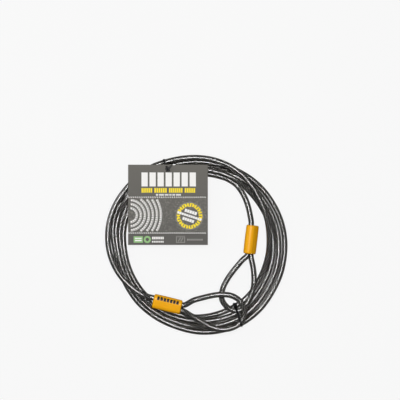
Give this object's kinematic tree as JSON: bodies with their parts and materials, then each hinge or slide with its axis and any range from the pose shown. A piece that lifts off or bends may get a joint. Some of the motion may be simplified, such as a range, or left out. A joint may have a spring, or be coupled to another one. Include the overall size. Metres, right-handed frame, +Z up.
{
  "type": "looped security cable",
  "caption": "Coiled steel security cable with a folded eye in a moulded sleeve at each end, nylon ties and a card hang tag.",
  "frame": {"origin": "centre of the coil on the plane it lies on", "axes": "+Z up along the coil's axis, +Y towards the tie that holds the hang tag, +X towards the right sleeve"},
  "size_m": [0.336, 0.336, 0.0391],
  "materials": {
    "vinyl_jacket": "clear smoke vinyl over steel rope, glossy",
    "steel_rope": "bright drawn wire, stranded",
    "ferrule_metal": "pressed, satin",
    "yellow_sleeve": "moulded, semi-gloss",
    "tie_nylon": "moulded black nylon, satin",
    "tag_card": "printed coated card, satin"
  },
  "bodies": {
    "cable": {"cable_coil": "vinyl_jacket", "left_lead": "vinyl_jacket", "right_lead": "vinyl_jacket", "left_eye_jacket": "vinyl_jacket", "left_eye_core": "steel_rope", "left_ferrule": "ferrule_metal", "left_sleeve": "yellow_sleeve", "right_eye_jacket": "vinyl_jacket", "right_eye_core": "steel_rope", "right_ferrule": "ferrule_metal", "right_sleeve": "yellow_sleeve", "eye_tie": "tie_nylon", "tag_tie": "tie_nylon"},
    "tag": {"hang_tag": "tag_card"}
  },
  "joints": [
    {"name": "tag_swivel", "type": "hinge", "parent": "cable", "child": "tag", "pos_m": [-0.05432, 0.13444, 0.0216], "axis": [0, 0, 1], "range_deg": [-6, 18]}
  ]
}
